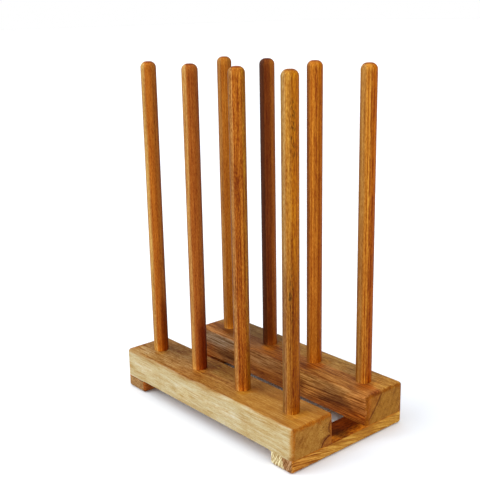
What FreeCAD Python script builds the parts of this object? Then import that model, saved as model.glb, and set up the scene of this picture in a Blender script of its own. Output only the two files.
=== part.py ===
import FreeCAD, Part
import math
import os

# Boot rack for four pairs of tall boots, stored upside down on pegs.
# Two timber rails lie side by side on two cross battens, and a row of round pegs stands in
# each rail. Each peg is glued in a blind socket by a slightly thinner foot, whose shoulder
# sits on the rail. The battens are screwed on from below.
# Millimetres. +X runs along the rails, +Y from the front rail to the rear rail, +Z up.
# The origin is on the floor, under the middle of the rack.

# Rails
rail_length = 375.0
rail_width = 76.0
rail_height = 44.0
rail_gap = 66.0

# Battens, flush with the rails' ends and outer faces
batten_width = 42.0
batten_thickness = 19.0

# Pegs
pegs_per_rail = 4
peg_diameter = 22.6
peg_projection = 445.0
peg_end_distance = 39.75
peg_top_round = 9.0
peg_foot_step = 0.2
peg_foot_chamfer = 1.5
socket_floor = 10.0
socket_clearance = 0.1

# Edges: the uprights and the rims of the rails' tops and the battens' feet are rounded over
# by one cutter, with ball corners. The edges between rails and battens are only eased.
round_over_radius = 5.0
eased_edge_radius = 1.5

# Countersunk wood screws, two where each rail crosses a batten
screw_length = 40.0
screw_head_diameter = 8.5
screw_head_angle = 90.0
screw_shank_diameter = 3.4
screw_shank_length = 14.0
screw_thread_diameter = 4.5
screw_core_diameter = 3.0
screw_thread_pitch = 2.2
screw_point_length = 4.0
screw_recess_slot = 0.9
screw_recess_depth = 1.8
screw_recess_wall = 0.5
screw_sink = 0.6
screw_edge_distance = 17.0
screw_clearance = 0.1
pilot_extra_depth = 1.0

# Places that follow from the sizes above
rack_depth = 2 * rail_width + rail_gap
rail_centre_y = (rail_gap + rail_width) / 2
rail_top = batten_thickness + rail_height
batten_centre_x = (rail_length - batten_width) / 2
socket_bottom = batten_thickness + socket_floor
peg_spacing = (rail_length - 2 * peg_end_distance) / (pegs_per_rail - 1)
screw_offset_y = rail_width / 2 - screw_edge_distance
peg_foot_radius = peg_diameter / 2 - peg_foot_step
head_slope = math.tan(math.radians(screw_head_angle / 2))


def block(size_x, size_y, size_z, centre_x, centre_y, bottom):
    """Rectangular block, centred in plan, with its base at the height given."""
    corner = FreeCAD.Vector(centre_x - size_x / 2, centre_y - size_y / 2, bottom)
    return Part.makeBox(size_x, size_y, size_z, corner)


def round_over(shape, rim_height, wall):
    """Round the uprights of a block and the rim at one height, by no more than the wall allows."""
    radius = min(round_over_radius, 0.45 * wall)
    rounded = []
    for edge in shape.Edges:
        box = edge.BoundBox
        is_upright = box.ZLength > 1e-6
        is_on_rim = abs(box.ZMin - rim_height) < 1e-6 and not is_upright
        if is_upright or is_on_rim:
            rounded.append(edge)
    return shape.makeFillet(radius, rounded)


def easing_cutter(length):
    """Waste taken off to ease one edge. The edge runs along +X, the timber fills +Y and +Z."""
    radius = eased_edge_radius
    corner = FreeCAD.Vector(0, -radius, -radius)
    waste = Part.makeBox(length, 2 * radius, 2 * radius, corner)
    centre = FreeCAD.Vector(0, radius, radius)
    return waste.cut(Part.makeCylinder(radius, length, centre, FreeCAD.Vector(1, 0, 0)))


def screw_places():
    """Plan positions of all the screws."""
    places = []
    for side_x in (-1, 1):
        for side_y in (-1, 1):
            for offset in (-screw_offset_y, screw_offset_y):
                places.append((side_x * batten_centre_x, side_y * rail_centre_y + offset))
    return places


def peg_place_x(index):
    """Position along the rail of one peg, counted from 0 at the left."""
    return -rail_length / 2 + peg_end_distance + index * peg_spacing


def make_rail(centre_y):
    """Rail with blind peg sockets from above and pilot holes for the screws from below."""
    rail = block(rail_length, rail_width, rail_height, 0, centre_y, batten_thickness)
    rail = round_over(rail, rail_top, min(rail_length, rail_width, rail_height))

    between_battens = rail_length - 2 * batten_width
    for turn in (0, 180):
        waste = easing_cutter(between_battens)
        waste.translate(FreeCAD.Vector(-between_battens / 2, -rail_width / 2, 0))
        waste.rotate(FreeCAD.Vector(0, 0, 0), FreeCAD.Vector(0, 0, 1), turn)
        waste.translate(FreeCAD.Vector(0, centre_y, batten_thickness))
        rail = rail.cut(waste)

    socket_radius = peg_foot_radius + socket_clearance
    for index in range(pegs_per_rail):
        floor = FreeCAD.Vector(peg_place_x(index), centre_y, socket_bottom)
        rail = rail.cut(Part.makeCylinder(socket_radius, rail_height, floor))

    pilot_radius = screw_thread_diameter / 2 + screw_clearance
    pilot_end = screw_sink + screw_length + pilot_extra_depth
    for place_x, place_y in screw_places():
        pilot = Part.makeCylinder(pilot_radius, pilot_end, FreeCAD.Vector(place_x, place_y, 0))
        rail = rail.cut(pilot)
    return rail


def make_batten(centre_x):
    """Cross batten with countersunk screw holes from below."""
    batten = block(batten_width, rack_depth, batten_thickness, centre_x, 0, 0)
    batten = round_over(batten, 0, min(batten_width, rack_depth, batten_thickness))

    for turn in (0, 180):
        waste = easing_cutter(rail_gap)
        waste.rotate(FreeCAD.Vector(0, 0, 0), FreeCAD.Vector(1, 0, 0), -90)
        waste.translate(FreeCAD.Vector(-rail_gap / 2, -batten_width / 2, batten_thickness))
        waste.rotate(FreeCAD.Vector(0, 0, 0), FreeCAD.Vector(0, 0, 1), 90 + turn)
        waste.translate(FreeCAD.Vector(centre_x, 0, 0))
        batten = batten.cut(waste)

    hole_radius = screw_thread_diameter / 2 + screw_clearance
    mouth_radius = screw_head_diameter / 2 + screw_clearance
    sink_depth = (mouth_radius - hole_radius) / head_slope
    for place_x, place_y in screw_places():
        foot = FreeCAD.Vector(place_x, place_y, 0)
        batten = batten.cut(Part.makeCylinder(hole_radius, batten_thickness, foot))
        batten = batten.cut(Part.makeCylinder(mouth_radius, screw_sink, foot))
        seat = FreeCAD.Vector(place_x, place_y, screw_sink)
        batten = batten.cut(Part.makeCone(mouth_radius, hole_radius, sink_depth, seat))
    return batten


def end_ring(shape, pick):
    """Level ring at one end of an upright round shape: pick is min for the foot, max for the top."""
    rings = [edge for edge in shape.Edges if edge.BoundBox.ZLength < 1e-6]
    return pick(rings, key=lambda edge: edge.BoundBox.ZMin)


def make_peg(centre_x, centre_y):
    """Round peg, rounded over at the top, on its thinner foot, which fills the socket."""
    seat = FreeCAD.Vector(centre_x, centre_y, rail_top)
    shaft = Part.makeCylinder(peg_diameter / 2, peg_projection, seat)
    top_round = min(peg_top_round, 0.45 * peg_diameter)
    shaft = shaft.makeFillet(top_round, [end_ring(shaft, max)])

    floor = FreeCAD.Vector(centre_x, centre_y, socket_bottom)
    foot = Part.makeCylinder(peg_foot_radius, rail_top - socket_bottom, floor)
    chamfer = min(peg_foot_chamfer, 0.45 * peg_foot_radius)
    foot = foot.makeChamfer(chamfer, [end_ring(foot, min)])
    return shaft.fuse(foot)


def make_screw(place_x, place_y):
    """Countersunk wood screw, head down. Its thread is simplified to a row of ridges."""
    head_radius = screw_head_diameter / 2
    shank_radius = screw_shank_diameter / 2
    thread_radius = screw_thread_diameter / 2
    core_radius = screw_core_diameter / 2
    head_height = (head_radius - shank_radius) / head_slope
    thread_end = screw_length - screw_point_length
    ridges = max(1, round((thread_end - screw_shank_length) / screw_thread_pitch))
    pitch = (thread_end - screw_shank_length) / ridges

    section = [(0, 0), (head_radius, 0), (shank_radius, head_height)]
    section += [(shank_radius, screw_shank_length), (core_radius, screw_shank_length)]
    for ridge in range(ridges):
        foot = screw_shank_length + ridge * pitch
        section += [(thread_radius, foot + pitch / 2), (core_radius, foot + pitch)]
    section += [(0, screw_length), (0, 0)]
    outline = Part.makePolygon([FreeCAD.Vector(radius, 0, height) for radius, height in section])
    screw = Part.Face(outline).revolve(FreeCAD.Vector(0, 0, 0), FreeCAD.Vector(0, 0, 1), 360)

    recess_span = 2 * (head_radius - screw_recess_depth * head_slope - screw_recess_wall)
    for size_x, size_y in ((recess_span, screw_recess_slot), (screw_recess_slot, recess_span)):
        screw = screw.cut(block(size_x, size_y, screw_recess_depth, 0, 0, 0))
    screw.translate(FreeCAD.Vector(place_x, place_y, screw_sink))
    return screw


def make_parts():
    """Every node of the rack, by name."""
    parts = {
        "front_rail": make_rail(-rail_centre_y),
        "rear_rail": make_rail(rail_centre_y),
        "left_batten": make_batten(-batten_centre_x),
        "right_batten": make_batten(batten_centre_x),
    }
    for index in range(pegs_per_rail):
        number = index + 1
        parts[f"front_peg_{number}"] = make_peg(peg_place_x(index), -rail_centre_y)
        parts[f"rear_peg_{number}"] = make_peg(peg_place_x(index), rail_centre_y)
    screws = [make_screw(place_x, place_y) for place_x, place_y in screw_places()]
    parts["batten_screws"] = Part.makeCompound(screws)
    return parts


os.makedirs("parts", exist_ok=True)
for name, shape in make_parts().items():
    shape.exportStep(f"parts/{name}.step")
    print(name, len(shape.Solids), "solids", round(shape.Volume / 1000, 2), "cm3")
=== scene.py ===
import math
from typing import NamedTuple

import bpy
from mathutils import Matrix, Vector


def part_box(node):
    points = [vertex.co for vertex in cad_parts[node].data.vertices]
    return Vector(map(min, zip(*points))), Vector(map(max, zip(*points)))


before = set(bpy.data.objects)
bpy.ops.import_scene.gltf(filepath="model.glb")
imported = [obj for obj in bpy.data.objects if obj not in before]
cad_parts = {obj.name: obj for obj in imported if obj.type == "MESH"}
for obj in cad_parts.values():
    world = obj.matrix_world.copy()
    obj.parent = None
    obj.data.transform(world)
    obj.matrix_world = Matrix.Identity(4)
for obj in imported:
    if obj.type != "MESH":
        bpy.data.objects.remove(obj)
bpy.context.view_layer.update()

MM = 0.001

# The camera, solved from the rack's straight edges: place in metres, angles in degrees
CAMERA_PLACE = Vector((0.890356, -0.780969, 0.575311))
CAMERA_AZIMUTH = 49.818
CAMERA_ELEVATION = 15.088
CAMERA_ROLL = 1.207
FOCAL_LENGTH_PIXELS = 849.779
IMAGE_SIDE_PIXELS = 480
SENSOR_WIDTH = 36.0

# The floor reaches this far from the rack, in metres
FLOOR_REACH = 30.0
FLOOR_COLOUR = (0.88, 0.92, 0.97, 1)
WHITE = (1, 1, 1, 1)

# The surround is brighter at the left of the view, where this direction in plan points
TOWARD_LEFT = (-math.cos(math.radians(CAMERA_AZIMUTH)), -math.sin(math.radians(CAMERA_AZIMUTH)), 0)
RIGHT_STRENGTH = 0.30
LEFT_STRENGTH = 0.86

# Soft studio lights: name, direction that the light comes from, strength, and spread in degrees
SOFTBOXES = (
    ("front_light", (-0.62, -0.80, 0.72), 2.0, 60),
    ("top_light", (0.10, 0.25, 1.0), 1.2, 60),
    ("right_light", (1.0, -0.10, 0.50), 0.8, 55),
)

# Wood colours are given as they look on a level surface, which the lights show brighter by this
LIGHT_LEVEL = 1.29


# ---------------------------------------------------------------- camera, floor and light

def make_camera():
    """The camera that took the reference view."""
    azimuth = math.radians(CAMERA_AZIMUTH)
    elevation = math.radians(CAMERA_ELEVATION)
    roll = math.radians(CAMERA_ROLL)
    forward = Vector((
        -math.sin(azimuth) * math.cos(elevation),
        math.cos(azimuth) * math.cos(elevation),
        -math.sin(elevation),
    ))
    level_right = Vector((math.cos(azimuth), math.sin(azimuth), 0.0))
    level_down = forward.cross(level_right)
    right = level_right * math.cos(roll) + level_down * math.sin(roll)
    up = level_right * math.sin(roll) - level_down * math.cos(roll)
    turned = Matrix((right, up, -forward)).transposed().to_4x4()

    data = bpy.data.cameras.new("camera")
    data.sensor_width = SENSOR_WIDTH
    data.lens = FOCAL_LENGTH_PIXELS / IMAGE_SIDE_PIXELS * SENSOR_WIDTH
    camera = bpy.data.objects.new("camera", data)
    camera.matrix_world = Matrix.Translation(CAMERA_PLACE) @ turned
    bpy.context.scene.collection.objects.link(camera)
    bpy.context.scene.camera = camera


def make_floor():
    """A wide pale floor, which isn't part of the rack."""
    mesh = bpy.data.meshes.new("floor")
    corners = [(x, y, 0) for x, y in ((-1, -1), (1, -1), (1, 1), (-1, 1))]
    mesh.from_pydata([Vector(corner) * FLOOR_REACH for corner in corners], [], [(0, 1, 2, 3)])
    floor = bpy.data.objects.new("floor", mesh)
    bpy.context.scene.collection.objects.link(floor)
    material = bpy.data.materials.new("floor_white")
    material.use_nodes = True
    shader = material.node_tree.nodes["Principled BSDF"]
    shader.inputs["Base Color"].default_value = FLOOR_COLOUR
    shader.inputs["Roughness"].default_value = 0.9
    shader.inputs["Specular IOR Level"].default_value = 0.1
    mesh.materials.append(material)


def make_world():
    """A surround for the light, brighter at the left of the view, which the camera sees as white."""
    world = bpy.data.worlds.new("studio")
    bpy.context.scene.world = world
    world.use_nodes = True
    nodes = world.node_tree.nodes
    links = world.node_tree.links
    direction = nodes.new("ShaderNodeTexCoord")
    leftward = nodes.new("ShaderNodeVectorMath")
    leftward.operation = "DOT_PRODUCT"
    links.new(direction.outputs["Generated"], leftward.inputs[0])
    leftward.inputs[1].default_value = TOWARD_LEFT
    level = nodes.new("ShaderNodeMapRange")
    links.new(leftward.outputs["Value"], level.inputs["Value"])
    ends = {"From Min": -1, "From Max": 1, "To Min": RIGHT_STRENGTH, "To Max": LEFT_STRENGTH}
    for name, end in ends.items():
        level.inputs[name].default_value = end
    lit = nodes["Background"]
    lit.inputs["Color"].default_value = WHITE
    links.new(level.outputs["Result"], lit.inputs["Strength"])
    seen = nodes.new("ShaderNodeBackground")
    seen.inputs["Color"].default_value = WHITE
    seen.inputs["Strength"].default_value = 1.0
    ray = nodes.new("ShaderNodeLightPath")
    choice = nodes.new("ShaderNodeMixShader")
    links.new(ray.outputs["Is Camera Ray"], choice.inputs["Fac"])
    links.new(lit.outputs["Background"], choice.inputs[1])
    links.new(seen.outputs["Background"], choice.inputs[2])
    links.new(choice.outputs["Shader"], nodes["World Output"].inputs["Surface"])


def make_softbox(name, toward, strength, spread):
    """Soft studio light as from a large panel far away, in the direction given."""
    data = bpy.data.lights.new(name, "SUN")
    data.energy = strength
    data.angle = math.radians(spread)
    light = bpy.data.objects.new(name, data)
    light.rotation_mode = "QUATERNION"
    light.rotation_quaternion = Vector(toward).to_track_quat("Z", "Y")
    bpy.context.scene.collection.objects.link(light)


# ---------------------------------------------------------------- shader building blocks

class Pattern:
    """Adds shader nodes to a new material, so that a pattern can be written as a formula."""

    def __init__(self, name):
        self.material = bpy.data.materials.new(name)
        self.material.use_nodes = True
        self.nodes = self.material.node_tree.nodes
        self.links = self.material.node_tree.links
        self.shader = self.nodes["Principled BSDF"]

    def put(self, socket, value):
        """Link a socket, or set it, as the value asks."""
        if isinstance(value, bpy.types.NodeSocket):
            self.links.new(value, socket)
        else:
            socket.default_value = value

    def math(self, operation, first, second=0.0, third=0.0):
        node = self.nodes.new("ShaderNodeMath")
        node.operation = operation
        for socket, value in zip(node.inputs, (first, second, third)):
            self.put(socket, value)
        return node.outputs[0]

    def add(self, first, second):
        return self.math("ADD", first, second)

    def times(self, first, second):
        return self.math("MULTIPLY", first, second)

    def times_add(self, value, factor, offset):
        """The value times the factor, plus the offset."""
        return self.math("MULTIPLY_ADD", value, factor, offset)

    def absolute(self, value):
        """The value without its sign."""
        return self.math("ABSOLUTE", value)

    def step(self, value, low, high):
        """Smooth rise from 0 to 1 between two values. With low above high it falls."""
        node = self.nodes.new("ShaderNodeMapRange")
        node.interpolation_type = "SMOOTHSTEP"
        self.put(node.inputs["Value"], value)
        ends = (low, high, 0.0, 1.0) if low < high else (high, low, 1.0, 0.0)
        for name, end in zip(("From Min", "From Max", "To Min", "To Max"), ends):
            node.inputs[name].default_value = end
        return node.outputs["Result"]

    def band(self, value, centre, half_width, soft):
        """1 within half a width of the centre, and 0 beyond the soft border."""
        away = self.absolute(self.add(value, -centre))
        return self.step(away, half_width + soft, half_width)

    def cloud(self, first, second, centre, half_size):
        """Soft oval patch, 1 in its middle. Centre and half size are given in two directions."""
        across = self.times(self.add(first, -centre[0]), 1 / half_size[0])
        up = self.times(self.add(second, -centre[1]), 1 / half_size[1])
        squares = [self.times(value, value) for value in (across, up)]
        return self.step(self.add(*squares), 1.0, 0.0)

    def vector(self, x, y, z):
        node = self.nodes.new("ShaderNodeCombineXYZ")
        for socket, value in zip(node.inputs, (x, y, z)):
            self.put(socket, value)
        return node.outputs[0]

    def split(self, vector):
        node = self.nodes.new("ShaderNodeSeparateXYZ")
        self.put(node.inputs[0], vector)
        return node.outputs[0], node.outputs[1], node.outputs[2]

    def object_place(self, middle, unit):
        """Place on the piece, from the middle given in metres, in units of the size given."""
        here = self.nodes.new("ShaderNodeTexCoord").outputs["Object"]
        moved = self.nodes.new("ShaderNodeVectorMath")
        moved.operation = "SUBTRACT"
        self.put(moved.inputs[0], here)
        moved.inputs[1].default_value = middle
        scaled = self.nodes.new("ShaderNodeVectorMath")
        scaled.operation = "SCALE"
        self.put(scaled.inputs[0], moved.outputs[0])
        scaled.inputs["Scale"].default_value = 1 / unit
        return scaled.outputs[0]

    def noise(self, vector, detail=2.0, roughness=0.5, output="Fac"):
        """Noise from 0 to 1 at a point whose unit is one cell of the noise."""
        node = self.nodes.new("ShaderNodeTexNoise")
        self.put(node.inputs["Vector"], vector)
        node.inputs["Scale"].default_value = 1.0
        node.inputs["Detail"].default_value = detail
        node.inputs["Roughness"].default_value = roughness
        return node.outputs[output]

    def mix(self, blend_type, share, first, second):
        """Colour mix. The first input is its share, and the seventh and eighth are its colours."""
        node = self.nodes.new("ShaderNodeMix")
        node.data_type = "RGBA"
        node.blend_type = blend_type
        for index, value in ((0, share), (6, first), (7, second)):
            self.put(node.inputs[index], value)
        return node.outputs[2]

    def blend(self, share, first, second):
        """Colour that goes from the first to the second as the share goes from 0 to 1."""
        return self.mix("MIX", share, first, second)

    def shade(self, share, colour, tint):
        """The colour, multiplied by a tint as far as the share says."""
        return self.mix("MULTIPLY", share, colour, (*tint, 1))

    def patches(self, colour, first, second, rows):
        """Soft oval patches of other shades. A row is a centre, a half size and a tint."""
        for centre, half_size, tint in rows:
            colour = self.shade(self.cloud(first, second, centre, half_size), colour, tint)
        return colour

    def ramp(self, value, stops):
        """Colour ramp. Stops are pairs of a position and a linear colour."""
        node = self.nodes.new("ShaderNodeValToRGB")
        self.put(node.inputs[0], value)
        band = node.color_ramp
        for _ in stops[2:]:
            band.elements.new(0.5)
        for element, (position, colour) in zip(band.elements, stops):
            element.position = position
            element.color = (*colour, 1.0)
        return node.outputs[0]


def linear(colour):
    """Linear colour, from an sRGB colour given as 0 to 255."""
    shares = [channel / 255 for channel in colour]
    return [share / 12.92 if share <= 0.04045 else ((share + 0.055) / 1.055) ** 2.4 for share in shares]


def unlit(colour):
    """Linear colour of the wood itself, from how it looks on a level surface."""
    return [channel / LIGHT_LEVEL for channel in linear(colour)]


# ---------------------------------------------------------------- wood

# What multiplies a colour: open vessels, and dark lines of old growth
PORE_TINT = (0.66, 0.42, 0.26)
LINE_TINT = (0.36, 0.20, 0.12)

# Width and length of the open vessels, in millimetres
PORE_SIZE = (1.0, 13.0)

# The oil is satin: how strongly it mirrors, and how deep the grain is that it leaves open
OIL_GLOSS = 0.05
GRAIN_DEPTH = 0.12 * MM


class Wood(Pattern):
    """Oiled timber cut from a log: every colour comes from a place in the piece.

    x, y and z are millimetres from the piece's middle. along, side and rise are the same place
    along the grain and in two directions across it. The annual rings stand round a pith line,
    given in the two directions across the grain. The warp is how far the grain wanders, and over
    what length and width it does so. Turn and slope are angles in degrees. The seed and a
    pattern's shift choose a place in the noise, so that pieces and patterns differ.
    """

    def __init__(self, node, grain, seed, pith, warp, turn=0.0, slope=0.0):
        super().__init__(f"{node}_wood")
        self.seed = seed
        low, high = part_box(node)
        self.half = (high - low) / 2 / MM
        self.x, self.y, self.z = self.split(self.object_place((high + low) / 2, MM))
        self.along, self.side, self.rise = {
            "x": (self.x, self.y, self.z),
            "y": (self.y, self.x, self.z),
            "z": (self.z, self.x, self.y),
        }[grain]
        if turn:
            self.side, self.rise = self.turned(self.side, self.rise, turn)
        if slope:
            self.along, self.rise = self.turned(self.along, self.rise, slope)
        self.bend(*warp)
        self.radius = self.distance(self.wavy_side, self.wavy_rise, pith)

    def turned(self, first, second, degrees):
        """Two coordinates after a turn of the axes."""
        cosine, sine = math.cos(math.radians(degrees)), math.sin(math.radians(degrees))
        new_first = self.add(self.times(first, cosine), self.times(second, sine))
        new_second = self.add(self.times(first, -sine), self.times(second, cosine))
        return new_first, new_second

    def bend(self, amount, along, across):
        """Let the grain wander, so that its lines aren't straight."""
        offset = self.seed * 3.1
        point = self.vector(
            self.times_add(self.along, 1 / along, offset),
            self.times_add(self.side, 1 / across, offset),
            self.times_add(self.rise, 1 / across, offset),
        )
        drift = self.split(self.noise(point, detail=1.5, output="Color"))
        self.wavy_side = self.times_add(self.add(drift[0], -0.5), 2 * amount, self.side)
        self.wavy_rise = self.times_add(self.add(drift[1], -0.5), 2 * amount, self.rise)

    def distance(self, first, second, centre):
        """Distance of two coordinates from a centre."""
        away = (self.add(first, -centre[0]), self.add(second, -centre[1]))
        squares = [self.times(value, value) for value in away]
        return self.math("SQRT", self.add(*squares))

    def at(self, along, side, rise, shift=0.0):
        """Noise point with its own cell size in each direction, in millimetres."""
        offset = self.seed + shift
        return self.vector(
            self.times_add(self.along, 1 / along, offset),
            self.times_add(self.wavy_side, 1 / side, offset * 1.7),
            self.times_add(self.wavy_rise, 1 / rise, offset * 0.6),
        )

    def rings(self, width, stretch, shift=0.0):
        """Bands that follow the annual rings and change slowly along the grain, from -0.5 to 0.5."""
        offset = self.seed + shift
        point = self.vector(
            self.times_add(self.radius, 1 / width, offset),
            self.times_add(self.along, 1 / stretch, offset),
            offset,
        )
        return self.add(self.noise(point, roughness=0.55), -0.5)

    def fibres(self, width, stretch, shift=0.0):
        """Streaks that run along the grain on every side, from -0.5 to 0.5."""
        return self.add(self.noise(self.at(stretch, width, width, shift)), -0.5)

    def tone(self, *terms):
        """0.5 plus each pattern times its weight."""
        total = 0.5
        for pattern, weight in terms:
            total = self.times_add(pattern, weight, total)
        return total

    def normal_share(self, axis):
        """How squarely the surface faces along one axis of the piece, from 0 to 1."""
        normal = self.nodes.new("ShaderNodeTexCoord").outputs["Normal"]
        return self.absolute(self.split(normal)["xyz".index(axis)])

    def off_circle(self, centre, radius, wander):
        """How far a place is outside a circle across the grain. The circle's line wanders."""
        gap = self.add(self.distance(self.side, self.rise, centre), -radius)
        return self.add(gap, self.times(self.fibres(7, 90, shift=51.0), 2 * wander))

    def open_pores(self, width, stretch):
        """Dark dashes where the saw has opened the wood's vessels. On end grain they are dots."""
        coarse = self.noise(self.at(stretch, width, width, shift=21.0), detail=1.0)
        fine = self.noise(self.at(7.0, 0.42, 0.42, shift=23.0), detail=1.0)
        coarse = self.times(self.step(coarse, 0.585, 0.68), 0.75)
        return self.math("MAXIMUM", coarse, self.step(fine, 0.60, 0.72))

    def oiled(self, colour, pore_share, pore_size=PORE_SIZE, roughness=0.50):
        """Oil finish: open grain over the colour, and satin roughness that follows it."""
        pores = self.open_pores(*pore_size)
        relief = self.fibres(0.8, 60, shift=41.0)
        colour = self.shade(self.times(pores, pore_share), colour, PORE_TINT)
        self.put(self.shader.inputs["Base Color"], colour)
        rough = self.times_add(relief, 0.12, self.times_add(pores, 0.18, roughness))
        self.put(self.shader.inputs["Roughness"], rough)
        self.shader.inputs["Specular IOR Level"].default_value = OIL_GLOSS
        bump = self.nodes.new("ShaderNodeBump")
        bump.inputs["Strength"].default_value = 0.5
        bump.inputs["Distance"].default_value = GRAIN_DEPTH
        self.put(bump.inputs["Height"], self.times_add(pores, -1.0, relief))
        self.put(self.shader.inputs["Normal"], bump.outputs[0])
        return self.material


# Tones of one wood, from dark to light: place on the ramp, and how red it is beside the mean
WOOD_TONES = ((0.24, 0.44), (0.43, 0.86), (0.57, 1.13), (0.76, 1.55))

# Green and blue change faster than red from tone to tone
GREEN_POWER = 1.42
BLUE_POWER = 2.0


def shades(colour, contrast=1.0, green_power=GREEN_POWER, blue_power=BLUE_POWER):
    """Ramp of one wood round its mean colour. Darker wood is redder, paler wood yellower."""
    red, green, blue = unlit(colour)
    stops = []
    for position, tone in WOOD_TONES:
        level = tone ** contrast
        stops.append((position, (red * level, green * level ** green_power, blue * level ** blue_power)))
    return stops


def grain_tone(wood, middle=0.40, blotch=0.40, streak=0.7, fleck=0.55):
    """Tone of plain wood from 0 to 1: ring bands, blotches, streaks, flecks and fine fibres."""
    return wood.tone(
        (wood.rings(9, 160), 0.25),
        (wood.rings(2.6, 90, shift=5.0), middle),
        (wood.fibres(12, 30, shift=71.0), blotch),
        (wood.fibres(1.5, 30, shift=9.0), streak),
        (wood.fibres(1.8, 5, shift=11.0), fleck),
        (wood.fibres(0.6, 14, shift=13.0), 0.45),
    )


def end_tone(wood):
    """Tone of end grain from 0 to 1: faint rings, and mottling that is as long as it is wide."""
    return wood.tone(
        (wood.rings(3.2, 400, shift=81.0), 0.30),
        (wood.fibres(12, 60, shift=83.0), 0.45),
        (wood.fibres(2.6, 40, shift=85.0), 0.32),
        (wood.fibres(1.1, 20, shift=87.0), 0.40),
    )


# ---------------------------------------------------------------- rails

# Where the pegs stand along a rail, in millimetres from its middle
PEG_PLACES = (-147.75, -49.25, 49.25, 147.75)

# Patches on the front rail, in millimetres from its middle: centre, half size and tint.
# Noise pulls the shades of its top out of shape, and leaves its spots as they are.
FRONT_TOP_SHADES = (
    ((-120, 0), (90, 50), (0.96, 1.12, 1.60)),
    ((10, -30), (70, 26), (0.83, 0.76, 0.57)),
    # Painted shade right of the second peg, on the rear half
    ((-18, 18), (60, 26), (0.85, 0.82, 0.61)),
    ((104, -16), (70, 36), (1.20, 1.30, 1.20)),
    ((182, 0), (34, 60), (1.24, 1.22, 0.88)),
    ((-160, -20), (24, 28), (1.12, 1.30, 1.66)),
)
FRONT_TOP_SPOTS = (
    ((-130, -32), (34, 11), (1.16, 1.32, 1.50)),
    ((-24, -24), (18, 14), (0.88, 0.74, 0.62)),
    ((24, -19), (16, 8), (1.08, 1.16, 1.28)),
    ((72, -29), (20, 8), (0.92, 0.88, 0.78)),
    ((170, -23), (18, 14), (0.90, 0.84, 0.70)),
)
FRONT_FACE_SHADES = (
    ((-142, 4), (44, 12), (1.07, 1.08, 1.14)),
    ((0, 2), (30, 9), (1.06, 1.07, 1.12)),
    ((62, 0), (60, 8), (1.08, 1.10, 1.18)),
    ((160, 2), (60, 26), (0.99, 0.96, 0.90)),
    ((-20, -16), (60, 9), (0.96, 0.93, 0.88)),
    ((-75, 8), (24, 12), (0.97, 0.94, 0.88)),
    ((-187, 24), (50, 11), (0.86, 0.70, 0.52)),
    ((186, -20), (9, 5), (0.72, 0.62, 0.50)),
    ((-42, -6), (26, 18), (1.13, 1.19, 1.32)),
    ((20, 17), (50, 8), (0.91, 0.81, 0.66)),
    ((80, 1), (22, 8), (1.05, 1.12, 1.28)),
    ((135, 17), (50, 8), (0.96, 0.89, 0.79)),
)

# The same on the rear rail, where noise pulls all the shades out of shape
REAR_INNER_SHADES = (
    ((-140, 14), (70, 20), (0.86, 1.40, 3.3)),
    ((-118, -10), (46, 14), (0.64, 0.78, 1.2)),
    ((-20, 14), (60, 18), (1.03, 1.17, 1.55)),
    ((-15, -14), (60, 12), (0.98, 0.87, 0.60)),
    ((110, 16), (80, 14), (1.30, 1.52, 1.68)),
    ((90, -8), (44, 14), (1.35, 1.42, 1.34)),
    ((126, -9), (40, 9), (0.73, 0.71, 0.74)),
    ((140, -16), (64, 12), (1.22, 1.02, 0.72)),
    ((176, 4), (30, 28), (1.46, 1.39, 1.25)),
    ((68, 5), (20, 25), (1.50, 1.68, 1.72)),
    ((118, 4), (26, 30), (0.80, 0.80, 0.86)),
    ((156, -16), (32, 10), (1.28, 1.34, 1.22)),
    ((172, 3), (16, 9), (0.84, 0.82, 0.84)),
)
REAR_TOP_SHADES = (
    # Darker wood and painted shade over the left of the top
    ((-90, 10), (110, 60), (0.42, 0.42, 0.56)),
    ((10, -30), (70, 34), (0.73, 0.57, 0.36)),
    ((84, 34), (26, 18), (1.00, 1.06, 1.14)),
    ((116, 22), (22, 26), (0.84, 0.88, 1.10)),
    ((108, -26), (50, 22), (1.17, 1.25, 1.08)),
    ((180, 10), (34, 60), (1.42, 1.34, 0.98)),
)

# Tints of a rail's top before each peg, as the viewer sees it, and at its right: painted glow and
# painted shade of the pegs, partly the wood's own colour
FRONT_FOOT_TINTS = (
    ((1.17, 1.09, 0.71), (0.97, 0.92, 0.85)),
    ((1.28, 1.16, 0.74), (0.88, 0.68, 0.42)),
    ((1.18, 1.12, 0.60), (1.08, 0.92, 0.48)),
    ((1.33, 1.32, 1.00), (1.00, 0.92, 0.54)),
)
REAR_FOOT_TINTS = (
    ((1.00, 0.80, 0.40), (1.00, 0.90, 0.70)),
    ((1.45, 1.16, 0.40), (1.55, 1.30, 0.75)),
    ((1.02, 0.70, 0.28), (1.45, 1.40, 1.10)),
    ((0.80, 0.55, 0.28), (1.02, 0.86, 0.65)),
)

# Place of the patch at a peg's right, from the peg's middle, and its half size
RIGHT_OF_PEG = (12, 6)
RIGHT_REACH = 16

# Dark heartwood of the rear rail: its middle across the grain, and how far it reaches
HEART_CENTRE = (-115, 76)
HEART_RADIUS = 122

# On a rail's rounded ends the distance to the end counts this much more than the others, so that
# their stain reaches less far along the top and the sides than over the end grain
END_WEIGHT = 2.2


def beside_feet(tints, away, reach):
    """Patches on a rail's top before each peg and to its right: painted glow and painted shade of the
    pegs, partly the wood's own colour.

    How far the patch before it is away, and how far it reaches, are in millimetres.
    """
    rows = []
    for place, (before, right) in zip(PEG_PLACES, tints):
        rows.append(((place + away, 2 - away), (reach, reach), before))
        rows.append(((place + RIGHT_OF_PEG[0], RIGHT_OF_PEG[1]), (RIGHT_REACH, RIGHT_REACH), right))
    return rows


def end_share(wood):
    """1 on a rail's end grain, 0 on its sides."""
    return wood.step(wood.normal_share("x"), 0.70, 0.95)


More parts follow.
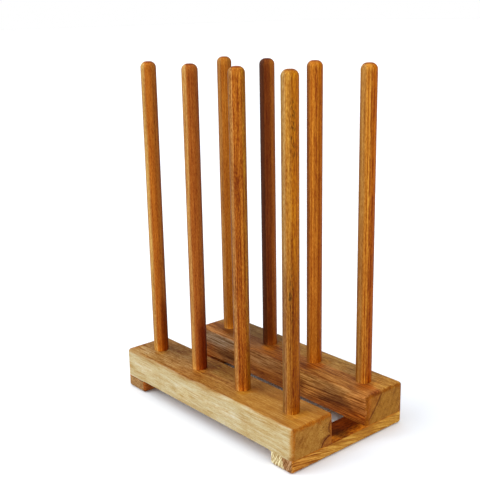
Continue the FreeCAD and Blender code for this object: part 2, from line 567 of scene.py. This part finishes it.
def edge_share(wood, width):
    """1 on the rounded top and upright edges round a rail's ends, which have soaked up oil."""
    to_end = wood.math("SUBTRACT", wood.half.x, wood.absolute(wood.x))
    to_side = wood.math("SUBTRACT", wood.half.y, wood.absolute(wood.y))
    to_top = wood.math("SUBTRACT", wood.half.z, wood.z)
    nearest = wood.math("MINIMUM", to_side, to_top)
    distance = wood.math("MAXIMUM", wood.times(to_end, END_WEIGHT), nearest)
    # The stain's border is uneven, coarsely and finely
    distance = wood.add(distance, wood.times(wood.fibres(9, 9, shift=31.0), 14.0))
    distance = wood.add(distance, wood.times(wood.fibres(2, 4, shift=33.0), 4.0))
    return wood.step(distance, width + 3.5, width - 3.0)


def front_rail_top(wood, drift):
    """The top of the front rail, golden at the right, with painted shade over the rear left."""
    seen = (172, 116, 50)
    colour = wood.ramp(grain_tone(wood), shades(seen, 1.0, 1.7, 2.8))
    # The wood is plainer towards the right
    calm = wood.times(wood.step(wood.x, 20, 80), 0.5)
    colour = wood.blend(calm, colour, (*unlit(seen), 1))
    drifted_x = wood.times_add(drift, 2.0, wood.x)
    drifted_y = wood.add(wood.y, drift)
    colour = wood.patches(colour, drifted_x, drifted_y, FRONT_TOP_SHADES)
    colour = wood.patches(colour, wood.x, wood.y, beside_feet(FRONT_FOOT_TINTS, 11, 11.5))
    colour = wood.patches(colour, wood.x, wood.y, FRONT_TOP_SPOTS)
    # Painted shade darkens the rear half up to the third peg
    rear = wood.times(wood.step(drifted_y, -12, 12), wood.step(drifted_x, 125, 35))
    return wood.shade(wood.times(rear, 0.9), colour, (0.66, 0.65, 0.69))


def front_rail_end(wood):
    """End grain of the front rail.

    A dark line curves round redder wood low at the rear, and another stands above it.
    """
    colour = wood.ramp(end_tone(wood), shades((171, 114, 40), 1.0, 1.6, 2.6))
    off_red = wood.off_circle((33, -26.5), 17.5, wander=1.4)
    colour = wood.shade(wood.step(off_red, 0.6, -0.6), colour, (1.0, 0.81, 0.65))
    lower_line = wood.band(off_red, 0.0, 0.7, 1.1)
    upper_line = wood.band(wood.off_circle((42, 2.5), 12.0, wander=1.2), 0.0, 0.8, 1.4)
    lines = wood.math("MAXIMUM", lower_line, wood.times(upper_line, 0.8))
    colour = wood.shade(lines, colour, LINE_TINT)
    spots = wood.step(wood.fibres(1.6, 8, shift=93.0), 0.06, 0.14)
    spots = wood.times(spots, wood.cloud(wood.y, wood.z, (24, 10), (26, 20)))
    return wood.shade(wood.times(spots, 0.7), colour, LINE_TINT)


def front_rail_sapwood(wood, drift, oiled_edge):
    """Pale sapwood of the front face."""
    tone = wood.tone(
        (wood.fibres(10, 50, shift=61.0), 0.60),
        (wood.fibres(3.0, 40, shift=65.0), 0.55),
        (wood.fibres(1.0, 22, shift=9.0), 0.50),
        (wood.fibres(1.2, 4, shift=13.0), 0.40),
    )
    colour = wood.ramp(tone, shades((200, 179, 131), 0.40, 1.9, 3.8))
    colour = wood.patches(colour, wood.x, wood.z, FRONT_FACE_SHADES)
    # Lengthwise lines are plainer to see near the right end
    lines = wood.step(wood.noise(wood.at(60, 60, 1.3, shift=91.0)), 0.53, 0.62)
    lines = wood.times(lines, wood.step(wood.x, 30, 120))
    colour = wood.shade(wood.times(lines, 0.5), colour, (0.82, 0.72, 0.52))
    # The left half is browner along its upper edge
    brown = wood.step(wood.add(wood.z, wood.times(drift, 0.4)), 15.5, 20)
    brown = wood.times(brown, wood.step(wood.x, 60, 0))
    colour = wood.shade(wood.times(brown, 0.85), colour, (0.79, 0.65, 0.50))
    colour = wood.shade(wood.times(oiled_edge, 0.8), colour, (0.92, 0.64, 0.34))
    # The upright edge at the right end is golden
    return wood.shade(wood.step(wood.x, 179, 188), colour, (1.02, 0.76, 0.44))


def front_rail_wood():
    wood = Wood("front_rail", "x", 2.3, pith=(33, -27), warp=(4.0, 110.0, 45.0))
    drift = wood.times(wood.fibres(12, 40, shift=3.0), 26.0)
    colour = front_rail_top(wood, drift)
    colour = wood.blend(end_share(wood), colour, front_rail_end(wood))
    oiled_edge = edge_share(wood, 5.0)
    orange = wood.ramp(grain_tone(wood), shades((171, 91, 6)))
    colour = wood.blend(wood.times(oiled_edge, 0.85), colour, orange)

    # Sapwood is a thin skin behind the front face: thinner in the left half, thickest at its end
    skin = wood.times_add(wood.step(wood.x, -130, -187), 4.0, 2.6)
    skin = wood.times_add(wood.step(wood.x, 10, -40), -1.2, skin)
    depth = wood.add(wood.y, wood.half.y)
    depth = wood.add(depth, wood.times(wood.fibres(5, 30, shift=7.0), 4.0))
    in_skin = wood.step(wood.math("SUBTRACT", skin, depth), -2.4, 1.2)
    colour = wood.blend(in_skin, colour, front_rail_sapwood(wood, drift, oiled_edge))
    return wood.oiled(colour, 0.40)


def rear_rail_top(wood, heart, drift, drifted_x):
    """The top of the rear rail: dark heartwood, with golden wood along its rear half."""
    gold = wood.ramp(grain_tone(wood), shades((168, 121, 58)))
    off_heart = wood.off_circle(HEART_CENTRE, HEART_RADIUS, wander=3.0)
    # Away from the right end the heartwood reaches further
    off_heart = wood.add(off_heart, wood.times(wood.step(wood.x, 180, 120), -6.0))
    golden = wood.times(wood.step(off_heart, -3.0, 3.0), wood.step(wood.z, -2, 8))
    colour = wood.blend(golden, heart, gold)
    colour = wood.patches(colour, drifted_x, wood.add(wood.y, drift), REAR_TOP_SHADES)
    return wood.patches(colour, wood.x, wood.y, beside_feet(REAR_FOOT_TINTS, 15, 18))


def rear_rail_inner(wood, heart, drift, drifted_x):
    """The face between the rails, which grows redder downwards."""
    drifted_z = wood.times_add(drift, 0.5, wood.z)
    low = wood.step(drifted_z, 10, -14)
    colour = wood.shade(wood.times(low, 0.8), heart, (0.90, 0.72, 0.55))
    return wood.patches(colour, drifted_x, drifted_z, REAR_INNER_SHADES)


def rear_rail_end(wood):
    """End grain of the rear rail, where a dark curving line parts redder wood from golden."""
    colour = wood.ramp(end_tone(wood), shades((171, 113, 34)))
    off_heart = wood.off_circle(HEART_CENTRE, HEART_RADIUS, wander=1.8)
    colour = wood.shade(wood.step(off_heart, 0.6, -0.6), colour, (0.98, 0.83, 0.64))
    # It is redder still beside the face between the rails
    colour = wood.shade(wood.step(wood.y, -26, -34), colour, (1.06, 0.84, 0.66))
    line = wood.band(off_heart, 0.0, 0.9, 1.4)
    return wood.shade(wood.times(line, 0.75), colour, LINE_TINT)


def rear_rail_wood():
    wood = Wood("rear_rail", "x", 7.9, pith=HEART_CENTRE, warp=(3.2, 150.0, 40.0))
    heart_tone = wood.tone(
        (wood.rings(9, 120), 0.45),
        (wood.rings(2.0, 90, shift=5.0), 0.7),
        (wood.fibres(10, 50, shift=71.0), 0.6),
        (wood.fibres(1.3, 40, shift=9.0), 1.2),
        (wood.fibres(1.4, 6, shift=11.0), 0.4),
        (wood.fibres(0.7, 16, shift=13.0), 0.7),
    )
    heart = wood.ramp(heart_tone, shades((164, 103, 47)))
    drift = wood.times(wood.fibres(10, 40, shift=3.0), 26.0)
    drifted_x = wood.times_add(drift, 2.0, wood.x)
    top = rear_rail_top(wood, heart, drift, drifted_x)
    inner = rear_rail_inner(wood, heart, drift, drifted_x)
    colour = wood.blend(wood.step(wood.normal_share("y"), 0.4, 0.9), top, inner)
    colour = wood.blend(end_share(wood), colour, rear_rail_end(wood))
    orange = wood.ramp(grain_tone(wood), shades((150, 80, 5)))
    colour = wood.blend(wood.times(edge_share(wood, 4.5), 0.88), colour, orange)
    # A dark patch sits where the line on the right end meets the top
    knot = wood.cloud(wood.y, wood.z, (-17, 22), (17, 5))
    knot = wood.times(knot, wood.step(wood.x, 176, 184))
    colour = wood.shade(wood.times(knot, 0.8), colour, (0.50, 0.30, 0.22))
    return wood.oiled(colour, 0.50)


# ---------------------------------------------------------------- battens

def batten_top(wood, colour, outward):
    """Between the rails the battens' tops get painted shade: dark, and lighter towards the outer edge.

    outward is how far a place is from the batten's middle towards that edge.
    """
    tone = grain_tone(wood, blotch=0.9, streak=1.2)
    inner = wood.ramp(tone, shades((108, 42, 4)))
    outer = wood.ramp(tone, shades((184, 101, 18)))
    drift = wood.add(outward, wood.times(wood.fibres(6, 40, shift=7.0), 14.0))
    painted_shade = wood.blend(wood.step(drift, 4, 17), inner, outer)
    # Deeper painted shade in one patch
    dark = wood.cloud(drift, wood.y, (8, -8), (18, 16))
    painted_shade = wood.shade(wood.times(dark, 0.85), painted_shade, (0.34, 0.34, 0.40))
    return wood.blend(wood.step(wood.z, 7.6, 8.7), colour, painted_shade)


def right_batten_front(wood):
    """The front end of the right batten: pale sapwood with slanting lines beside a dark wedge."""
    line_width, line_length = 1.6, 14
    slant = wood.times_add(wood.z, -0.45, wood.x)
    point = wood.vector(wood.times(slant, 1 / line_width), wood.times(wood.z, 1 / line_length), 4.2)
    lines = wood.add(wood.noise(point), -0.5)
    sap_tone = wood.tone((lines, 2.0), (wood.fibres(3, 30, shift=63.0), 0.7))
    sap = wood.ramp(sap_tone, shades((219, 199, 148), 0.80))
    wedge_tone = wood.tone((lines, 2.2), (wood.fibres(2, 20, shift=63.0), 1.0))
    wedge = wood.ramp(wedge_tone, shades((168, 122, 77), 0.90))
    border = wood.times_add(wood.z, 0.30, wood.x)
    border = wood.add(border, wood.times(wood.fibres(4, 30, shift=3.0), 6.0))
    return wood.blend(wood.step(border, 3.0, 5.0), sap, wedge)


def right_batten_wood():
    wood = Wood("right_batten", "y", 15.2, pith=(-95, 46), warp=(2.5, 90.0, 30.0), slope=-12.0)
    tone = wood.tone(
        (wood.rings(9, 90), 0.35),
        (wood.rings(1.8, 80, shift=5.0), 0.9),
        (wood.fibres(10, 40, shift=71.0), 0.4),
        (wood.fibres(1.1, 50, shift=9.0), 1.4),
        (wood.fibres(1.5, 5, shift=11.0), 0.35),
        (wood.fibres(0.6, 16, shift=13.0), 0.6),
    )
    seen = (204, 140, 48)
    colour = wood.ramp(tone, shades(seen, 1.0, 1.7, 2.9))
    # The wood is plainer behind the front end, which is redder, and paler at the rear
    calm = wood.times(wood.step(wood.y, -50, -10), 0.36)
    colour = wood.blend(calm, colour, (*unlit(seen), 1))
    near_front = wood.step(wood.y, -20, -100)
    colour = wood.shade(wood.times(near_front, 0.7), colour, (0.77, 0.51, 0.36))
    colour = wood.shade(wood.step(wood.y, 30, 90), colour, (1.16, 1.28, 1.36))
    colour = batten_top(wood, colour, wood.x)

    # The pattern of the front end fades out round its right edge
    at_front = wood.times(wood.step(wood.y, -60, -100), wood.step(wood.normal_share("y"), 0.45, 0.85))
    at_front = wood.times(at_front, wood.step(wood.x, 21.5, 18))
    colour = wood.blend(at_front, colour, right_batten_front(wood))
    return wood.oiled(colour, 0.45)


def left_batten_wood():
    wood = Wood("left_batten", "y", 11.4, pith=(-30, -66), warp=(2.5, 90.0, 30.0), slope=4.0)
    tone = grain_tone(wood, middle=0.5, streak=0.8, fleck=0.8)
    colour = wood.ramp(tone, shades((156, 113, 63), 0.9))
    # The side that looks towards the other batten is redder
    inner = wood.add(wood.x, wood.times(wood.fibres(5, 40, shift=7.0), 4.0))
    redder = wood.ramp(grain_tone(wood, blotch=0.9, streak=1.0), shades((170, 90, 32)))
    colour = wood.blend(wood.step(inner, 17.5, 19.5), colour, redder)
    colour = batten_top(wood, colour, wood.times(wood.x, -1.0))
    return wood.oiled(colour, 0.45)


# ---------------------------------------------------------------- pegs

# What multiplies a peg's colour
PEG_LINE_TINT = (0.56, 0.32, 0.18)
PEG_PALE_TINT = (1.14, 1.28, 1.46)
PEG_SPECK_TINT = (0.34, 0.38, 0.44)
# The next is painted shade at a peg's left and right edges
PEG_LIMB_SHADE_TINT = (0.68, 0.62, 0.44)
PEG_TIP_TINT = (0.58, 0.42, 0.26)
RAIL_LIGHT_TINT = (1.20, 1.14, 0.98)
FOOT_GLOW_TINT = (1.65, 2.0, 2.4)

# Heights from a peg's middle, in millimetres: the stretch that a line along all of it fills, and
# where the warm light of the rail and the glow on the foot start and are full
WHOLE = (-225, 225)
RAIL_LIGHT = (-170, -205)
FOOT_GLOW = (-193, -206)

# How far the borders of a peg's colours and the ends of its lines fade, in millimetres
COLOUR_FADE = 2.0
LINE_FADE = 15


class Dowel(NamedTuple):
    """What one peg looks like on the side that faces the viewer: its three colours and its marks.

    Places across it are in millimetres from the middle of that side, and heights are from the
    peg's middle. Its foot is the part just above the rail. A line is its place across, its half
    width, its strength (below 0 for a pale line) and the stretch of height that it fills.
    """

    seed: float
    left: tuple
    middle: tuple
    right: tuple
    # Places across of the borders between the colours, and how strongly the grain shows
    borders: tuple = (-5.0, 5.5)
    contrast: float = 0.8
    # Tint of the lower half
    low_tint: tuple = (1, 1, 1)
    # How strongly the rail's light makes the foot glow
    glow: float = 0.9
    # Painted shade on the right side of the foot: where it starts and is full across the peg, and its
    # tint
    painted_foot_shade: tuple = ()
    # Clusters of olive specks: centre and half size, across and in height
    specks: tuple = ()
    lines: tuple = ()


PEGS = {
    "front_peg_1": Dowel(
        21.1, (202, 151, 76), (187, 102, 24), (165, 92, 26), borders=(-5.0, 4.5), glow=0.6,
        painted_foot_shade=(0, 5, (0.66, 0.40, 0.15)),
    ),
    "front_peg_2": Dowel(
        24.3, (191, 134, 65), (172, 91, 26), (158, 84, 24),
        painted_foot_shade=(-7, 7, (0.50, 0.23, 0.10)),
    ),
    "front_peg_3": Dowel(
        27.7, (178, 119, 55), (188, 105, 24), (170, 103, 16), borders=(-6.0, 6.0), contrast=1.35,
        low_tint=(0.88, 0.80, 0.76),
        lines=(
            (0.8, 0.5, 0.9, WHOLE), (-4.6, 0.4, 0.8, WHOLE), (5.6, 0.4, 0.6, WHOLE),
            (-2.2, 0.4, -0.6, WHOLE), (3.4, 0.4, -0.6, (-100, 225)), (-1.0, 0.3, 0.7, (60, 225)),
            (-9.0, 2.4, -0.9, (-225, -80)), (0.0, 3.5, 0.25, (-40, 60)), (7.5, 2.5, 0.2, (-225, -80)),
        ),
    ),
    "front_peg_4": Dowel(
        31.9, (181, 135, 72), (192, 123, 38), (192, 112, 12), borders=(-6.5, 0.5), contrast=1.0,
        low_tint=(0.66, 0.56, 0.54), glow=1.0,
        specks=(((3.0, 172), (4.2, 55)), ((0.6, -42), (3.6, 60))),
        lines=(
            (-3.0, 1.8, -1.0, (90, 225)), (-3.8, 0.8, -0.8, (-80, 90)), (4.0, 0.5, 0.5, (125, 185)),
            (4.6, 0.6, 0.9, (40, 150)), (2.0, 0.5, 0.9, (-225, -40)), (6.6, 0.4, 0.8, (40, 225)),
            (-1.2, 0.4, 0.7, (-225, -60)), (0.4, 0.4, -0.6, (-120, 225)), (0.6, 0.8, 0.8, (-20, 30)),
            (-9.2, 0.6, 0.8, (-225, -40)), (-7.0, 0.6, 0.7, (-225, -20)), (-3.4, 1.8, -0.7, (-225, -40)),
            (3.4, 2.0, 0.35, (-225, -20)), (8.6, 1.0, -0.6, (-165, 40)), (6.5, 4.0, 0.45, (-225, -180)),
        ),
    ),
    "rear_peg_1": Dowel(35.2, (176, 116, 50), (188, 108, 28), (168, 100, 30)),
    "rear_peg_2": Dowel(
        # Its dark left side is partly darker wood and partly painted shade
        38.6, (84, 40, 14), (128, 61, 15), (164, 90, 22), borders=(-4.5, 4.0), contrast=0.75,
        low_tint=(0.92, 0.85, 0.8),
        lines=((-2.0, 0.7, 0.7, WHOLE), (3.4, 0.4, 0.5, WHOLE)),
    ),
    "rear_peg_3": Dowel(
        42.4, (148, 86, 28), (208, 124, 32), (184, 98, 4), borders=(-7.4, 3.8), contrast=0.85,
        low_tint=(0.92, 0.84, 0.84), glow=0.0,
        lines=(
            (-0.6, 0.4, 1.0, (20, 225)), (1.2, 0.4, 0.9, (80, 225)), (-3.6, 0.5, -0.7, WHOLE),
            (-5.4, 0.4, 0.7, WHOLE), (3.0, 0.4, -0.6, WHOLE), (5.2, 0.3, 0.6, (-225, 120)),
            (0.0, 3.5, 0.2, (-50, 70)), (-8.4, 2.6, -1.0, (-225, -90)), (-9.4, 2.0, -0.6, (-225, -90)),
        ),
    ),
    "rear_peg_4": Dowel(
        46.8, (180, 121, 52), (213, 135, 40), (186, 98, 8), borders=(-5.0, 3.0),
        low_tint=(0.86, 0.77, 0.72), glow=0.35,
        lines=(
            (0.2, 0.5, -1.0, WHOLE), (1.6, 0.4, 1.0, WHOLE), (3.6, 0.4, -0.7, (-100, 225)),
            (5.6, 0.5, 1.0, WHOLE), (-2.0, 0.4, 0.8, WHOLE), (2.8, 0.3, 0.8, (-60, 225)),
            (-3.6, 0.4, -0.6, WHOLE), (8.0, 3.0, 0.35, (-50, 70)), (-9.0, 2.5, -1.0, (-225, -90)),
        ),
    ),
}


def peg_colours(wood, dowel, across):
    """The three colours of a peg, with its grain."""
    tone = wood.tone(
        (wood.rings(2.4, 300, shift=5.0), 0.30),
        (wood.fibres(4, 50, shift=71.0), 0.35),
        (wood.fibres(1.2, 120, shift=9.0), 0.50),
        (wood.fibres(1.3, 4, shift=15.0), 0.55),
        (wood.fibres(0.8, 40, shift=17.0), 0.40),
        (wood.fibres(0.5, 9, shift=13.0), 0.40),
    )
    colour = wood.ramp(tone, shades(dowel.left, dowel.contrast, 1.6, 2.3))
    for border, beyond in zip(dowel.borders, (dowel.middle, dowel.right)):
        share = wood.step(across, border - COLOUR_FADE, border + COLOUR_FADE)
        colour = wood.blend(share, colour, wood.ramp(tone, shades(beyond, dowel.contrast, 1.6, 2.3)))
    return colour


def peg_marks(wood, dowel, across, colour):
    """Lines and specks on the near side of a peg."""
    near = wood.step(wood.rise, 2.0, -1.0)
    broken = wood.step(wood.fibres(1.5, 18, shift=17.0), -0.16, 0.04)
    for place, half_width, strength, (low, high) in dowel.lines:
        line = wood.band(across, place, half_width, 0.5)
        above_low = wood.step(wood.z, low - LINE_FADE, low)
        below_high = wood.step(wood.z, high + LINE_FADE, high)
        line = wood.times(wood.times(line, wood.times(above_low, below_high)), wood.times(near, broken))
        tint = PEG_LINE_TINT if strength > 0 else PEG_PALE_TINT
        colour = wood.shade(wood.times(line, abs(strength)), colour, tint)
    for centre, half_size in dowel.specks:
        drifted = wood.add(across, wood.times(wood.fibres(12, 30, shift=29.0), 8.0))
        cluster = wood.times(wood.cloud(drifted, wood.z, centre, half_size), near)
        specks = wood.step(wood.fibres(1.5, 6, shift=27.0), -0.02, 0.12)
        colour = wood.shade(wood.times(specks, cluster), colour, PEG_SPECK_TINT)
    return colour


def peg_wood(node):
    dowel = PEGS[node]
    # The turn makes side run to the viewer's right, and rise away from them
    wood = Wood(node, "z", dowel.seed, pith=(38, 8), warp=(0.9, 170.0, 25.0), turn=CAMERA_AZIMUTH)
    across = wood.add(wood.side, wood.times(wood.fibres(6, 150, shift=3.0), 1.8))
    colour = peg_colours(wood, dowel, across)
    colour = peg_marks(wood, dowel, across, colour)
    colour = wood.shade(wood.step(wood.z, 90, -60), colour, dowel.low_tint)
    # Painted shade on the right side of the foot
    if dowel.painted_foot_shade:
        start, full, tint = dowel.painted_foot_shade
        shaded = wood.times(wood.step(wood.z, -90, -150), wood.step(across, start, full))
        colour = wood.shade(shaded, colour, tint)

    # The rail throws warm light on the last of the shaft, most of it on the middle of the foot
    colour = wood.shade(wood.step(wood.z, *RAIL_LIGHT), colour, RAIL_LIGHT_TINT)
    glow = wood.times(wood.step(wood.z, *FOOT_GLOW), dowel.glow)
    glow = wood.times(glow, wood.step(wood.absolute(wood.add(across, 1.0)), 11, 3))
    colour = wood.shade(glow, colour, FOOT_GLOW_TINT)
    # Painted shade: the near side darkens towards the peg's left and right edges as the viewer sees them
    rim = wood.times(wood.step(wood.absolute(across), 8.6, 10.8), wood.step(wood.rise, 5.0, 0.0))
    colour = wood.shade(rim, colour, PEG_LIMB_SHADE_TINT)

    # Painted highlight makes the rounded top paler; a darker rim runs round its flat end
    top = wood.half.z
    painted_highlight = wood.step(wood.z, top - 14, top - 7)
    colour = wood.shade(wood.times(painted_highlight, 0.8), colour, PEG_PALE_TINT)
    colour = wood.shade(wood.step(wood.z, top - 3.0, top - 0.8), colour, PEG_TIP_TINT)
    return wood.oiled(colour, 0.55, pore_size=(0.9, 9.0), roughness=0.42)


# ---------------------------------------------------------------- screws

# Size of the zinc plating's specks, in metres
SPECK_SIZE = 1 / 1200


def screw_steel():
    pattern = Pattern("screw_steel")
    speck = pattern.noise(pattern.object_place((0, 0, 0), SPECK_SIZE), detail=3.0)
    stops = [(0.3, linear((150, 146, 128))), (0.7, linear((206, 200, 176)))]
    pattern.put(pattern.shader.inputs["Base Color"], pattern.ramp(speck, stops))
    pattern.put(pattern.shader.inputs["Roughness"], pattern.times_add(speck, 0.25, 0.2))
    pattern.shader.inputs["Metallic"].default_value = 1.0
    return pattern.material


# ---------------------------------------------------------------- the scene

def dress(node, material):
    """Give one CAD node its material."""
    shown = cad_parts[node]
    shown.data.materials.clear()
    shown.data.materials.append(material)


make_camera()
make_floor()
make_world()
for softbox in SOFTBOXES:
    make_softbox(*softbox)
bpy.context.scene.view_settings.view_transform = "Standard"

dress("front_rail", front_rail_wood())
dress("rear_rail", rear_rail_wood())
dress("left_batten", left_batten_wood())
dress("right_batten", right_batten_wood())
for peg in PEGS:
    dress(peg, peg_wood(peg))
dress("batten_screws", screw_steel())
